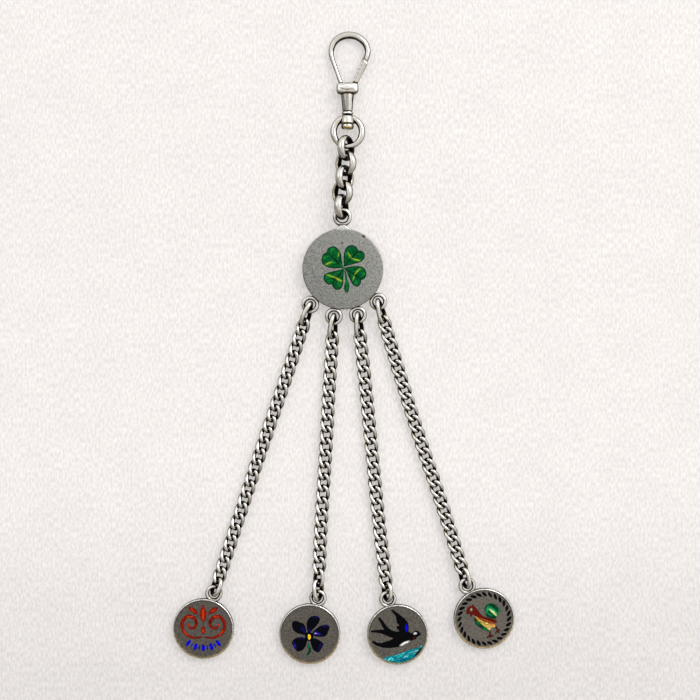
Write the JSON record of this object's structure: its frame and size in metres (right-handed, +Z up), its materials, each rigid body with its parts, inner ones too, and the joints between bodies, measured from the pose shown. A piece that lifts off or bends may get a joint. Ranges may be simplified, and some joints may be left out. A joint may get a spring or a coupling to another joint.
{
  "type": "watch fob",
  "caption": "Silver watch fob lying flat: swivel clip, short round-link chain, large clover charm and curb chains that fan out to small enamelled charms.",
  "frame": {"origin": "on the surface that the fob lies on, under the middle of its footprint", "axes": "+Y along the fob towards the clip, +X across it to the right, +Z up from the surface"},
  "size_m": [0.0682, 0.1267, 0.005],
  "materials": {
    "silver": "polished sterling silver with darkened recesses",
    "green_enamel": "glossy fired enamel, two greens with yellow-green streaks",
    "red_enamel": "glossy fired enamel, dark red",
    "blue_enamel": "glossy fired enamel, deep blue",
    "violet_enamel": "glossy fired enamel, blue-violet near black",
    "yellow_enamel": "glossy fired enamel, yellow",
    "black_enamel": "glossy fired enamel, black",
    "teal_enamel": "glossy fired enamel, teal with paler flecks",
    "gold_enamel": "glossy fired enamel, straw gold",
    "brown_enamel": "glossy fired enamel, red-brown"
  },
  "bodies": {
    "fob": {"swivel_eye": "silver", "upper_link_1": "silver", "upper_link_2": "silver", "upper_link_3": "silver", "upper_link_4": "silver", "upper_link_5": "silver", "main_disc": "silver", "hanger_link_1": "silver", "hanger_link_2": "silver", "hanger_link_3": "silver", "hanger_link_4": "silver", "curb_chain_1": "silver", "curb_chain_2": "silver", "curb_chain_3": "silver", "curb_chain_4": "silver", "drop_link_1": "silver", "drop_link_2": "silver", "drop_link_3": "silver", "drop_link_4": "silver", "drop_disc_1": "silver", "drop_disc_2": "silver", "drop_disc_3": "silver", "drop_disc_4": "silver", "clover_enamel": "green_enamel", "scroll_enamel": "red_enamel", "spray_enamel": "blue_enamel", "petal_enamel": "violet_enamel", "flower_eye_enamel": "yellow_enamel", "flower_stem_enamel": "green_enamel", "swallow_enamel": "black_enamel", "wave_enamel": "teal_enamel", "rooster_body_enamel": "brown_enamel", "rooster_breast_enamel": "gold_enamel", "rooster_belly_enamel": "green_enamel", "rooster_tail_enamel": "green_enamel", "rooster_legs_enamel": "brown_enamel", "wreath_enamel": "black_enamel"},
    "clip": {"clip_hook": "silver"},
    "lever": {"clip_lever": "silver"}
  },
  "joints": [
    {"name": "clip_swivel", "type": "hinge", "parent": "fob", "child": "clip", "pos_m": [0.00075, 0.04549, 0.0017], "axis": [0, 0.9983, -0.0576], "continuous": true},
    {"name": "lever_hinge", "type": "hinge", "parent": "clip", "child": "lever", "pos_m": [0.00195, 0.05221, 0.00131], "axis": [0, 0.0576, 0.9983], "range_deg": [0, 30], "stiffness_Nm_per_rad": 0.0005, "springref_deg": -11.46}
  ]
}
